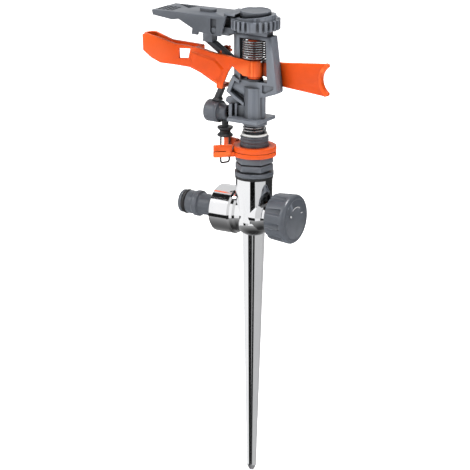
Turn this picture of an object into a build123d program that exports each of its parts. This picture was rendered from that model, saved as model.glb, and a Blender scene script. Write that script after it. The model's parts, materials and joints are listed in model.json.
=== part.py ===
"""Impulse sprinkler with a part-circle trip, on a cross-bladed ground spike with a flow valve.

Millimetres, +Z up. The origin is the tip of the spike. Water enters from -X, the flow knob faces +X,
and at rest the jet, the spoon of the impact arm and the deflector all point to -X.
"""

import os
from math import cos, radians, sin

from build123d import *

os.makedirs("parts", exist_ok=True)

# ---- Fits ----
RUNNING = 0.05  # radial clearance of everything that turns on or in something

# ---- Spike and valve body ----
SPIKE_SHOULDER_Z, SPIKE_HEAD_Z = 3.0, 169.0
# blades of the spike: reach along X, reach along Y, half thickness at the edge and at the root
TIP_BLADES = (1.6, 1.4, 0.5, 0.7)
SHOULDER_BLADES = (3.2, 2.2, 0.7, 1.0)
HEAD_BLADES = (7.8, 4.6, 1.5, 2.3)
VALVE_Z = 179.5
BODY_R = 12.3
BODY_TOP = 203.5
SLEEVE_R = 15.75
SLEEVE_FACE = -26.5
STEM_BOSS_R = 9.5
STEM_BOSS_END = 13.2
PLUG_BORE_R = 7.4
STEM_BORE_R = 4.0
INLET_THREAD_R = 9.0
SEAT_R = 11.5
SEAT_DEPTH = 3.0
OUTLET_THREAD_R = 8.6
OUTLET_THREAD_Z = 190.5
WATERWAY_R = 5.0

# ---- Hose nipple ----
NIPPLE_TIP = -54.8
NIPPLE_BORE_R = 4.5
NIPPLE_R = 7.75
RIDGE_R = 8.6
RIDGE_START, RIDGE_END = -43.4, -40.4
NECK_R = 7.1
COLLAR_R = 11.2
SEAL_GROOVE_R = 5.75
SEAL_GROOVE = (-52.1, -49.4)
WASHER_THICK = 1.0

# ---- Flow knob ----
KNOB_BACK, KNOB_FACE = 16.2, 32.0
KNOB_R_BACK, KNOB_R_FRONT = 15.4, 16.5
KNOB_WALL_R = 13.2
KNOB_FLUTES = 10
FLUTE_R = 2.4
FLUTE_END = 28.2
CAP_RECESS_R = 13.3
CAP_THICK = 1.0
STEM_GROOVE_R = 2.75
SCREW_R, SCREW_HEAD_R = 1.3, 2.8
SCREW_TIP, SCREW_SEAT, SCREW_FACE = 20.4, 28.6, 30.4
MARK_R, MARK_WIDTH, MARK_HEIGHT = 8.6, 0.7, 0.3
SIGN_SIZE = 2.6
SIGN_PLACE = (6.9, 3.2)

# ---- Bearing, from the valve body up to the head ----
FLANGE_Z = 205.4
FLANGE_TOP = 208.4
FLANGE_R = 12.9
NUT_TOP = 218.8
HEX_CORNER_R = 12.75
HEX_RIBS = ((209.3, 213.4), (214.3, 218.8))
HEX_TURN = 20.0
GROOVE_R = 10.3
NUT_SHANK_Z = 195.0
SLEEVE_JOIN_Z = 210.0
SLEEVE_JOIN_R = 8.2
BEARING_SLEEVE_R = 9.4
BEARING_SLEEVE_TOP = 232.4
TUBE_R = 6.45
TUBE_BORE_R = 4.4
TUBE_LIP_R = 8.2
TUBE_LIP_THICK = 1.6
WASHER_PAIR = 2
RETAINER_THICK = 0.8
THRUST_R = 8.65
THRUST_TOP = 234.0
TUBE_HEX_Z = 239.2
TUBE_HEX_FLATS = 14.5
HEAD_PLATE_Z = 242.0
TUBE_THREAD_R = 5.6
TUBE_THREAD_TOP = 252.0

# ---- Sector rings ----
RING_R = 14.5
RING_THICK = 3.1
RING_GAP = 0.2
TAB_REACH = 27.5
TAB_THICK = 3.0
TAB_START = 15.2
TAB_BASE, TAB_TOP = 218.6, 226.4
NECK_LENGTH, NECK_WIDTH = 3.0, 7.0
GROOVE_LENGTH, GROOVE_SIZE = 8.0, 0.5
LOWER_TAB_ANGLE = 225.0
UPPER_TAB_ANGLE = 165.0

# ---- Head casting ----
HEAD_PLATE_THICK = 2.2
HEAD_PLATE = (-14.0, 8.7)
HEAD_PLATE_HALF = 12.0
RISER_R = 7.15
RISER_BORE_TOP = 259.6
FRAME_HALF = 4.0
FRAME_TOP = 299.7
FRAME_BASE = 263.7
WINDOW_BASE, WINDOW_TOP = 269.0, 297.0
FRAME_TOP_HALF = 14.0
FRAME_FOOT_RIGHT, FRAME_FOOT_LEFT = 18.8, -13.5
JET_RISE = 22.4
OUTLET = (-16.0, 266.0)
BARREL_R = 4.6
BARREL_LENGTH = 16.5
JET_PLATE_HALF, JET_PLATE_HEIGHT, JET_PLATE_THICK = 6.0, 12.4, 2.6
NOZZLE_R = 3.4
NOZZLE_ORIFICE_R = 2.0
PIN_R = 1.75
PIN_FOOT = 264.4

# ---- Impact arm ----
HUB_R = 5.0
HUB_WIDE_R = 6.2
HUB_STEPS = (272.4, 283.0)
HUB_BASE, HUB_TOP = 270.6, 296.6
ARM_FRONT, ARM_BACK = -6.4, -4.6
PANEL_RISE, PANEL_SLOPE = 1.1, 50
RAIL_FRONT, RAIL_BACK = 3.0, 5.0
BLADE_FRONT, BLADE_BACK = 4.9, 7.3
SPOON_X = -79.0
BLADE_END = 51.4
SPOON_DEPTH = 5.0
SPRING_MEAN_R = 8.2
SPRING_WIRE_R = 0.55
SPRING_BASE, SPRING_TURNS, SPRING_PITCH = 283.7, 8, 1.55

# ---- Range wheel, deflector and their bracket ----
BRACKET_TOP = 303.5
BRACKET_HALF = 8.0
BRACKET_NARROW = 3.9
POST_R = 6.0
POST_TOP = 312.0
BOLT_HEAD = 2.2
WHEEL_R = 16.2
WHEEL_BASE, WHEEL_TOP = 303.8, 310.3
WHEEL_TEETH = 26
WHEEL_PAD_TEETH = (3, 12, 21)
TOOTH_DEPTH = 2.2
TOOTH_GAP = 2.0
CAM_INNER_R, CAM_OUTER_R = 10.9, 13.4
CAM_LIFT = 3.4
CAP_RIM_R, CAP_FOOT_R = 10.35, 9.0
CAP_FOOT, CAP_TOP = 309.7, 315.7
HINGE_X, HINGE_Z = -24.9, 301.1
HINGE_PIN_R = 1.5
LUG_HALF = 3.5
CHEEK_FRONT, CHEEK_BACK = -12.2, 13.0
CHEEK_THICK = 2.5
DECK_THICK = 1.8
POCKET_DEPTH = 1.7

# ---- Trip ----
TRIP_Z = 244.5
AXLE_R, AXLE_END = 1.5, -9.0
HUB_CORE_START, HUB_CORE_R = -33.2, 2.7
DRUM_R = 7.35
DRUM_END, DRUM_MOUTH = -36.0, -27.0
TRIP_HUB_R = 5.0
TRIP_HUB_END = -19.8
TRIP_HUB_PROFILE = [
    (DRUM_MOUTH, 0), (DRUM_MOUTH, 6.6), (-24.2, TRIP_HUB_R + 0.3), (TRIP_HUB_END - 0.5, TRIP_HUB_R),
    (TRIP_HUB_END, TRIP_HUB_R - 0.5), (TRIP_HUB_END, 0),
]
WIRE_X = -22.5
WIRE_R = 0.6
WIRE_HALF_WIDTH = 3.4
WIRE_TURN = 65.0
WIRE_FOOT = 209.8
SPOOL_R, SPOOL_WAIST_R = 5.2, 3.6
SPOOL_BASE, SPOOL_TOP = 228.7, 234.8
STEM_R = 2.2
HUB_FLANGE = 1.3

# ---- Diffuser screw ----
DIFFUSER_X, DIFFUSER_Z, DIFFUSER_Y = -24.6, 285.15, 3.6
DIFFUSER_R, DIFFUSER_FRONT = 0.9, 2.8
STAR_POINTS, STAR_THICK = 6, 3.2
CAM_START_GAP = 0.5

VALVE_AXIS = Axis((0, 0, VALVE_Z), (1, 0, 0))
wire_turn = radians(WIRE_TURN)
wire_plane = Plane(
    origin=(WIRE_X, 0, 0),
    x_dir=(cos(wire_turn), sin(wire_turn), 0),
    z_dir=(sin(wire_turn), -cos(wire_turn), 0),
)
JET = Vector(-cos(radians(JET_RISE)), 0, sin(radians(JET_RISE)))


def facing_x(x, z):
    """The plane across X at x, with its origin at height z."""
    return Plane(origin=(x, 0, z), x_dir=(0, 1, 0), z_dir=(1, 0, 0))


def across_jet(distance):
    """The plane across the jet, a distance downstream of the outlet."""
    origin = Vector(OUTLET[0], 0, OUTLET[1]) + JET * distance
    return Plane(origin=origin, x_dir=(0, 1, 0), z_dir=JET)


def disc(radius, low, high, mode=Mode.ADD):
    """A cylinder on the main axis, between two heights."""
    with BuildSketch(Plane.XY.offset(low)) as outline:
        Circle(radius)
    extrude(outline.sketch, amount=high - low, mode=mode)


def ring(outer, inner, low, high, mode=Mode.ADD):
    """A flat ring on the main axis, between two heights."""
    with BuildSketch(Plane.XY.offset(low)) as outline:
        Circle(outer)
        Circle(inner, mode=Mode.SUBTRACT)
    extrude(outline.sketch, amount=high - low, mode=mode)


def rod(radius, start, end, z, mode=Mode.ADD):
    """A cylinder along X at height z."""
    with BuildSketch(facing_x(start, z)) as outline:
        Circle(radius)
    extrude(outline.sketch, amount=end - start, mode=mode)


def slab(points, front, back, mode=Mode.ADD):
    """An upright plate: an outline in X and Z, from one Y to a larger one."""
    with BuildSketch(Plane.XZ.offset(-front)) as outline:
        with BuildLine():
            Polyline(*points, close=True)
        make_face()
    extrude(outline.sketch, amount=front - back, mode=mode)


def box(low, high, mode=Mode.ADD):
    """A block between two corners."""
    size = [b - a for a, b in zip(low, high)]
    centre = tuple((a + b) / 2 for a, b in zip(low, high))
    with Locations(centre):
        Box(*size, mode=mode)


def turned_about_z(points, mode=Mode.ADD):
    """A body turned about the main axis, from points (radius, height)."""
    with BuildSketch(Plane.XZ) as outline:
        with BuildLine():
            Polyline(*points, close=True)
        make_face()
    revolve(outline.sketch, axis=Axis.Z, mode=mode)


def turned_about_x(points, z, mode=Mode.ADD):
    """A body turned about the X line at height z, from points (x, radius)."""
    with BuildSketch(Plane.XZ.offset(0)) as outline:
        with BuildLine():
            Polyline(*[(x, z + r) for x, r in points], close=True)
        make_face()
    revolve(outline.sketch, axis=Axis((0, 0, z), (1, 0, 0)), mode=mode)


def coil(mean_r, wire_r, pitch, turns, centre, direction=(0, 0, 1)):
    """A round-wire coil, from its first turn's centre along a direction."""
    path = Helix(
        pitch=pitch,
        height=pitch * turns,
        radius=mean_r,
        center=centre,
        direction=direction,
        mode=Mode.PRIVATE,
    )
    with BuildSketch(Plane(origin=path @ 0, z_dir=path % 0)) as section:
        Circle(wire_r)
    sweep(section.sketch, path=path, is_frenet=True)


def bar_between(start, end, radius, mode=Mode.ADD):
    """A round bar from one point to another."""
    way = Vector(*end) - Vector(*start)
    with BuildSketch(Plane(origin=start, z_dir=way)) as section:
        Circle(radius)
    extrude(section.sketch, amount=way.length, mode=mode)


def blade_section(z, reach_x, reach_y, edge, root):
    """A section of the spike at height z: four blades that thin from root to edge."""
    quarter = [(reach_x, edge), (root, root), (edge, reach_y)]
    half = quarter + [(-x, y) for x, y in reversed(quarter)]
    with BuildSketch(Plane.XY.offset(z)) as outline:
        with BuildLine():
            Polyline(*half, *[(-x, -y) for x, y in half], close=True)
        make_face()
    return outline.sketch


# ======== Spike, valve body and inlet ========

with BuildPart() as spike_body:
    # four tapering blades, the wide pair along X
    tip_section = blade_section(0, *TIP_BLADES)
    shoulder_section = blade_section(SPIKE_SHOULDER_Z, *SHOULDER_BLADES)
    head_section = blade_section(SPIKE_HEAD_Z, *HEAD_BLADES)
    loft([tip_section, shoulder_section, head_section], ruled=True)
    # barrel of the valve, rounded where it meets the spike
    with BuildSketch(Plane.XZ) as barrel_outline:
        with BuildLine():
            Line((0, 164.2), (4.6, 164.8))
            TangentArc((BODY_R, 175.0), (4.6, 164.8), tangent=(0, -1))
            Line((BODY_R, 175.0), (BODY_R, BODY_TOP))
            Line((BODY_R, BODY_TOP), (0, BODY_TOP))
            Line((0, BODY_TOP), (0, 164.2))
        make_face()
    revolve(axis=Axis.Z)
    # cross: the inlet sleeve to -X and the stem boss to +X
    turned_about_x(
        [
            (SLEEVE_FACE, 0), (SLEEVE_FACE, SLEEVE_R - 1.2), (SLEEVE_FACE + 1.2, SLEEVE_R), (-11.8, SLEEVE_R),
            (-10.6, SLEEVE_R - 1.2), (-8.8, 14.0), (-7.4, 12.9), (-4.0, 12.0), (-4.0, 0),
        ],
        VALVE_Z,
    )
    turned_about_x(
        [
            (-4.0, 0), (-4.0, 12.0), (8.0, 12.0), (10.8, STEM_BOSS_R + 0.6), (11.6, STEM_BOSS_R),
            (STEM_BOSS_END, STEM_BOSS_R), (STEM_BOSS_END, 0),
        ],
        VALVE_Z,
    )
    # inside: nipple seat and thread, plug bore, stem bore, way up to the outlet thread
    seat_end = SLEEVE_FACE + SEAT_DEPTH
    plug_start = -13.0
    plug_end = 7.5
    rod(SEAT_R, SLEEVE_FACE, seat_end, VALVE_Z, Mode.SUBTRACT)
    rod(INLET_THREAD_R, seat_end, plug_start, VALVE_Z, Mode.SUBTRACT)
    rod(PLUG_BORE_R, plug_start, plug_end, VALVE_Z, Mode.SUBTRACT)
    rod(STEM_BORE_R, plug_end, STEM_BOSS_END, VALVE_Z, Mode.SUBTRACT)
    disc(WATERWAY_R, VALVE_Z, OUTLET_THREAD_Z, Mode.SUBTRACT)
    disc(OUTLET_THREAD_R, OUTLET_THREAD_Z, BODY_TOP, Mode.SUBTRACT)

with BuildPart() as inlet_nipple:
    collar_face = seat_end - WASHER_THICK
    turned_about_x(
        [
            (NIPPLE_TIP, NIPPLE_BORE_R), (NIPPLE_TIP, 7.1), (NIPPLE_TIP + 0.6, 7.7), (SEAL_GROOVE[0], 7.7),
            (SEAL_GROOVE[0], SEAL_GROOVE_R), (SEAL_GROOVE[1], SEAL_GROOVE_R), (SEAL_GROOVE[1], NIPPLE_R),
            (RIDGE_START - 1.2, NIPPLE_R), (RIDGE_START, RIDGE_R), (RIDGE_END, RIDGE_R),
            (RIDGE_END + 0.9, NECK_R), (-31.5, NECK_R), (-28.6, 9.7), (-27.6, COLLAR_R - 0.4),
            (-27.2, COLLAR_R), (collar_face, COLLAR_R), (collar_face, INLET_THREAD_R - 0.1),
            (-14.0, INLET_THREAD_R - 0.1), (-14.0, NIPPLE_BORE_R),
        ],
        VALVE_Z,
    )

with BuildPart() as nipple_o_ring:
    o_ring_r = (SEAL_GROOVE[1] - SEAL_GROOVE[0]) / 2 - 0.15
    with BuildSketch(Plane.XZ) as o_ring_section:
        with Locations(((SEAL_GROOVE[0] + SEAL_GROOVE[1]) / 2, VALVE_Z + SEAL_GROOVE_R + o_ring_r)):
            Circle(o_ring_r)
    revolve(axis=VALVE_AXIS)

with BuildPart() as inlet_washer:
    with BuildSketch(facing_x(collar_face, VALVE_Z)):
        Circle(SEAT_R - 0.2)
        Circle(INLET_THREAD_R + 0.1, mode=Mode.SUBTRACT)
    extrude(amount=WASHER_THICK)

# ======== Flow valve ========

with BuildPart() as valve_plug:
    port_r = 4.7
    rod(PLUG_BORE_R - RUNNING, plug_start + 1.0, plug_end - 0.1, VALVE_Z)
    rod(port_r, plug_start + 1.0, port_r, VALVE_Z, Mode.SUBTRACT)
    disc(port_r, VALVE_Z, VALVE_Z + PLUG_BORE_R, Mode.SUBTRACT)
    tang_half = 1.6
    tang_start = 5.2
    box(
        (tang_start, -tang_half, VALVE_Z - tang_half),
        (plug_end, tang_half, VALVE_Z + tang_half),
        Mode.SUBTRACT,
    )

with BuildPart() as valve_stem:
    stem_r = STEM_BORE_R - RUNNING
    stem_end = 27.0
    stem_groove = (9.4, 10.8)
    turned_about_x(
        [
            (plug_end, 0), (plug_end, stem_r), (stem_groove[0], stem_r), (stem_groove[0], STEM_GROOVE_R),
            (stem_groove[1], STEM_GROOVE_R), (stem_groove[1], stem_r), (stem_end, stem_r), (stem_end, 0),
        ],
        VALVE_Z,
    )
    box((tang_start, -tang_half, VALVE_Z - tang_half), (plug_end, tang_half, VALVE_Z + tang_half))
    rod(SCREW_R, SCREW_TIP - 0.4, stem_end, VALVE_Z, Mode.SUBTRACT)

with BuildPart() as stem_o_ring:
    stem_ring_r = 0.58
    with BuildSketch(Plane.XZ) as stem_ring_section:
        with Locations((sum(stem_groove) / 2, VALVE_Z + STEM_GROOVE_R + stem_ring_r)):
            Circle(stem_ring_r)
    revolve(axis=VALVE_AXIS)

with BuildPart() as bonnet_nut:
    with BuildSketch(facing_x(STEM_BOSS_END, VALVE_Z)):
        RegularPolygon(radius=9.2, side_count=6)
        Circle(STEM_BORE_R + RUNNING, mode=Mode.SUBTRACT)
    extrude(amount=2.4)

with BuildPart() as flow_knob:
    web_back = 27.0
    cap_seat = KNOB_FACE - CAP_THICK
    with BuildSketch(Plane.XZ) as knob_outline:
        with BuildLine():
            Polyline(
                (KNOB_FACE, VALVE_Z + 13.9), (KNOB_FACE, VALVE_Z + CAP_RECESS_R),
                (cap_seat, VALVE_Z + CAP_RECESS_R), (cap_seat, VALVE_Z),
                (web_back, VALVE_Z), (web_back, VALVE_Z + KNOB_WALL_R),
                (KNOB_BACK, VALVE_Z + KNOB_WALL_R - 0.6), (KNOB_BACK, VALVE_Z + KNOB_R_BACK - 0.5),
                (KNOB_BACK + 0.5, VALVE_Z + KNOB_R_BACK), (KNOB_FACE - 2.6, VALVE_Z + KNOB_R_FRONT),
            )
            TangentArc(
                (KNOB_FACE - 2.6, VALVE_Z + KNOB_R_FRONT), (KNOB_FACE, VALVE_Z + 13.9), tangent=(1, 0.08)
            )
        make_face()
    revolve(axis=VALVE_AXIS)
    # hub on the stem
    rod(6.4, KNOB_BACK + 0.8, web_back, VALVE_Z)
    rod(STEM_BORE_R - RUNNING, KNOB_BACK, stem_end, VALVE_Z, Mode.SUBTRACT)
    rod(1.6, stem_end, cap_seat, VALVE_Z, Mode.SUBTRACT)
    rod(3.0, SCREW_SEAT, cap_seat, VALVE_Z, Mode.SUBTRACT)
    # finger flutes, open at the back and closed in front
    with BuildSketch(facing_x(KNOB_BACK, VALVE_Z)) as flutes:
        with PolarLocations(KNOB_R_BACK + 1.6, KNOB_FLUTES, start_angle=9):
            Circle(FLUTE_R)
    extrude(flutes.sketch, amount=FLUTE_END - KNOB_BACK, mode=Mode.SUBTRACT)

with BuildPart() as knob_screw:
    rod(SCREW_HEAD_R, SCREW_SEAT, SCREW_FACE, VALVE_Z)
    rod(SCREW_R, SCREW_TIP, SCREW_SEAT, VALVE_Z)
    with BuildSketch(facing_x(SCREW_FACE, VALVE_Z)):
        Rectangle(3.2, 0.8)
        Rectangle(0.8, 3.2)
    extrude(amount=-0.9, mode=Mode.SUBTRACT)

with BuildPart() as knob_cap:
    rod(CAP_RECESS_R - 0.05, cap_seat, cap_seat + CAP_THICK, VALVE_Z)
    # raised flow marks: an arc with a plus at one end and a minus at the other
    with BuildSketch(facing_x(KNOB_FACE, VALVE_Z)):
        Circle(MARK_R)
        Circle(MARK_R - MARK_WIDTH, mode=Mode.SUBTRACT)
        with BuildLine():
            Polyline((0, 0), (-9.0, 13.0), (9.0, 13.0), close=True)
        make_face(mode=Mode.INTERSECT)
    extrude(amount=MARK_HEIGHT)
    with BuildSketch(facing_x(KNOB_FACE, VALVE_Z)):
        with Locations((-SIGN_PLACE[0], SIGN_PLACE[1])):
            Rectangle(SIGN_SIZE, MARK_WIDTH)
            Rectangle(MARK_WIDTH, SIGN_SIZE)
        with Locations(SIGN_PLACE):
            Rectangle(SIGN_SIZE, MARK_WIDTH)
    extrude(amount=MARK_HEIGHT)

# ======== Bearing ========

with BuildPart() as body_seal:
    ring(12.6, OUTLET_THREAD_R + 0.1, BODY_TOP, FLANGE_Z)

with BuildPart() as bearing_nut:
    disc(OUTLET_THREAD_R - RUNNING, NUT_SHANK_Z, FLANGE_Z)
    disc(FLANGE_R, FLANGE_Z, FLANGE_TOP)
    disc(GROOVE_R, FLANGE_TOP, NUT_TOP)
    for rib_low, rib_high in HEX_RIBS:
        with BuildSketch(Plane.XY.offset(rib_low)) as hexagon:
            RegularPolygon(radius=HEX_CORNER_R, side_count=6, rotation=HEX_TURN)
        extrude(hexagon.sketch, amount=rib_high - rib_low)
    disc(TUBE_R + RUNNING, NUT_SHANK_Z, SLEEVE_JOIN_Z, Mode.SUBTRACT)
    disc(SLEEVE_JOIN_R, SLEEVE_JOIN_Z, NUT_TOP, Mode.SUBTRACT)

with BuildPart() as bearing_sleeve:
    sleeve_groove = 0.35
    turned_about_z(
        [
            (TUBE_R + RUNNING, SLEEVE_JOIN_Z), (SLEEVE_JOIN_R, SLEEVE_JOIN_Z), (SLEEVE_JOIN_R, NUT_TOP),
            (BEARING_SLEEVE_R, NUT_TOP), (BEARING_SLEEVE_R, 227.2), (BEARING_SLEEVE_R - sleeve_groove, 227.5),
            (BEARING_SLEEVE_R - sleeve_groove, 228.1), (BEARING_SLEEVE_R, 228.4),
            (BEARING_SLEEVE_R, 229.8), (BEARING_SLEEVE_R - sleeve_groove, 230.1),
            (BEARING_SLEEVE_R - sleeve_groove, 230.5), (BEARING_SLEEVE_R, 230.8),
            (BEARING_SLEEVE_R, BEARING_SLEEVE_TOP - 0.4), (BEARING_SLEEVE_R - 0.4, BEARING_SLEEVE_TOP),
            (TUBE_R + RUNNING, BEARING_SLEEVE_TOP),
        ]
    )

with BuildPart() as thrust_washer:
    ring(THRUST_R, TUBE_R, BEARING_SLEEVE_TOP, THRUST_TOP)

with BuildPart() as bearing_tube:
    lip_top = NUT_SHANK_Z - WASHER_PAIR * RETAINER_THICK
    lip_base = lip_top - TUBE_LIP_THICK
    disc(TUBE_LIP_R, lip_base, lip_top)
    disc(TUBE_R, lip_top, TUBE_HEX_Z)
    with BuildSketch(Plane.XY.offset(TUBE_HEX_Z)):
        RegularPolygon(radius=TUBE_HEX_FLATS / 2 / cos(radians(30)), side_count=6, rotation=HEX_TURN)
    extrude(amount=HEAD_PLATE_Z - TUBE_HEX_Z)
    disc(TUBE_THREAD_R, HEAD_PLATE_Z, TUBE_THREAD_TOP)
    disc(TUBE_BORE_R, lip_base, TUBE_THREAD_TOP, Mode.SUBTRACT)

with BuildPart() as bearing_washers:
    for number in range(WASHER_PAIR):
        washer_base = lip_top + number * RETAINER_THICK
        ring(TUBE_LIP_R, TUBE_R, washer_base, washer_base + RETAINER_THICK - 0.02)

with BuildPart() as bearing_spring:
    coil(7.25, 0.6, 1.95, 2, (0, 0, THRUST_TOP + 0.65))

# ======== Sector rings ========


def sector_ring(base, angle, grooved):
    """Friction ring on the bearing sleeve, with one upright tab that the trip wire runs against."""
    ring(RING_R, BEARING_SLEEVE_R + RUNNING, base, base + RING_THICK)
    outward = (cos(radians(angle)), sin(radians(angle)), 0)
    radial = Plane(origin=(0, 0, base), x_dir=outward, z_dir=(0, 0, 1))
    with BuildSketch(radial) as neck:
        with Locations((RING_R, 0)):
            Rectangle(NECK_LENGTH, NECK_WIDTH)
    extrude(neck.sketch, amount=RING_THICK)
    with BuildSketch(radial.offset(TAB_BASE - base)) as tab:
        with Locations(((TAB_START + TAB_REACH) / 2, 0)):
            Rectangle(TAB_REACH - TAB_START, TAB_THICK)
    extrude(tab.sketch, amount=TAB_TOP - TAB_BASE)
    if grooved:
        groove_z = (TAB_TOP + TAB_BASE - GROOVE_SIZE) / 2
        with BuildSketch(radial.offset(groove_z - base)) as groove:
            for side in (-1, 1):
                with Locations((TAB_REACH - GROOVE_LENGTH / 2, side * TAB_THICK / 2)):
                    Rectangle(GROOVE_LENGTH, 2 * GROOVE_SIZE)
        extrude(groove.sketch, amount=GROOVE_SIZE, mode=Mode.SUBTRACT)


with BuildPart() as lower_sector_ring:
    sector_ring(NUT_TOP + RING_GAP, LOWER_TAB_ANGLE, True)

with BuildPart() as upper_sector_ring:
    sector_ring(NUT_TOP + RING_GAP * 2 + RING_THICK, UPPER_TAB_ANGLE, False)

# ======== Head ========

with BuildPart() as head_body:
    # plate over the bearing, and the riser
    box(
        (HEAD_PLATE[0], -HEAD_PLATE_HALF, HEAD_PLATE_Z),
        (HEAD_PLATE[1], HEAD_PLATE_HALF, HEAD_PLATE_Z + HEAD_PLATE_THICK),
    )
    disc(RISER_R, HEAD_PLATE_Z, FRAME_BASE + 1)
    # open frame that carries the arm
    slab(
        [
            (FRAME_FOOT_LEFT, FRAME_BASE), (FRAME_FOOT_RIGHT, FRAME_BASE), (FRAME_TOP_HALF, FRAME_TOP),
            (-FRAME_TOP_HALF, FRAME_TOP),
        ],
        -FRAME_HALF,
        FRAME_HALF,
    )
    slab(
        [(-8.8, WINDOW_BASE), (11.3, WINDOW_BASE), (10.0, WINDOW_TOP), (-9.8, WINDOW_TOP)],
        -FRAME_HALF,
        FRAME_HALF,
        Mode.SUBTRACT,
    )
    # ribbed gusset under the right post
    slab(
        [(18.8, 264.0), (18.4, 262.6), (10.6, 259.8), (5.0, 258.6), (0, 258.6), (0, 264.0)],
        -FRAME_HALF,
        FRAME_HALF,
    )
    for side in (-1, 1):
        recess_face = side * FRAME_HALF
        slab(
            [(16.0, 265.2), (10.0, 262.0), (7.6, 262.0), (7.6, 267.4), (16.0, 267.4)],
            min(recess_face, recess_face - side * 1.2),
            max(recess_face, recess_face - side * 1.2),
            Mode.SUBTRACT,
        )
    # nozzle housing: barrel, front plate, flanges above and below, web between them
    with BuildSketch(across_jet(-BARREL_LENGTH)):
        Circle(BARREL_R)
    extrude(amount=BARREL_LENGTH)
    with BuildSketch(across_jet(-JET_PLATE_THICK)):
        Rectangle(2 * JET_PLATE_HALF, JET_PLATE_HEIGHT)
    extrude(amount=JET_PLATE_THICK)
    slab([(-13.7, 271.4), (-8.6, 269.2), (-8.6, 266.9), (-14.6, 269.4)], -JET_PLATE_HALF, JET_PLATE_HALF)
    slab(
        [(-18.2, 260.4), (-12.3, 256.2), (-5.0, 252.2), (-5.0, 254.4), (-11.6, 258.2), (-17.6, 262.2)],
        -JET_PLATE_HALF,
        JET_PLATE_HALF,
    )
    slab([(-14.0, 269.0), (-5.0, 268.0), (-5.0, 254.0), (-12.0, 257.6), (-17.0, 261.6)], -1.3, 1.3)
    # bracket for the trip's axle, with its two upright ribs and the stop lug above
    box((-14.2, -3.0, HEAD_PLATE_Z), (-5.0, 3.0, 251.5))
    box((-16.8, -5.2, HEAD_PLATE_Z), (-14.4, 5.2, 252.0))
    box((-12.4, -4.6, HEAD_PLATE_Z), (-11.0, 4.6, 252.8))
    slab([(-16.8, 250.0), (-21.4, 252.6), (-20.6, 255.4), (-13.0, 256.4), (-11.0, 251.0)], -1.8, 1.8)
    # waterway: thread for the bearing tube, riser bore, jet bore
    disc(TUBE_THREAD_R, HEAD_PLATE_Z, TUBE_THREAD_TOP, Mode.SUBTRACT)
    disc(TUBE_BORE_R, TUBE_THREAD_TOP, RISER_BORE_TOP, Mode.SUBTRACT)
    with BuildSketch(across_jet(-BARREL_LENGTH)) as jet_bore:
        Circle(NOZZLE_R)
    extrude(jet_bore.sketch, amount=BARREL_LENGTH, mode=Mode.SUBTRACT)
    # holes for the arm's pin and the trip's axle
    disc(PIN_R, PIN_FOOT, FRAME_TOP, Mode.SUBTRACT)
    rod(AXLE_R, -16.8, AXLE_END, TRIP_Z, Mode.SUBTRACT)

with BuildPart() as nozzle_insert:
    nozzle_length = 9.0
    nozzle_flange = 1.2
    with BuildSketch(across_jet(-nozzle_length)):
        Circle(NOZZLE_R - 0.02)
    extrude(amount=nozzle_length)
    with BuildSketch(across_jet(0)):
        Circle(BARREL_R)
    extrude(amount=nozzle_flange)
    with BuildSketch(across_jet(-nozzle_length)) as orifice:
        Circle(NOZZLE_ORIFICE_R)
    extrude(orifice.sketch, amount=nozzle_length + nozzle_flange, mode=Mode.SUBTRACT)

with BuildPart() as arm_pivot_pin:
    disc(PIN_R, PIN_FOOT, POST_TOP)
    disc(4.4, POST_TOP, POST_TOP + BOLT_HEAD)
    with BuildSketch(Plane.XY.offset(POST_TOP + BOLT_HEAD)):
        RegularPolygon(radius=2.2, side_count=6)
    extrude(amount=-1.4, mode=Mode.SUBTRACT)

with BuildPart() as arm_washer:
    ring(5.6, PIN_R, WINDOW_BASE, HUB_BASE - 0.2)

with BuildPart() as reversing_axle:
    rod(AXLE_R, HUB_CORE_START + 0.2, AXLE_END, TRIP_Z)

# ======== Impact arm ========

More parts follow.
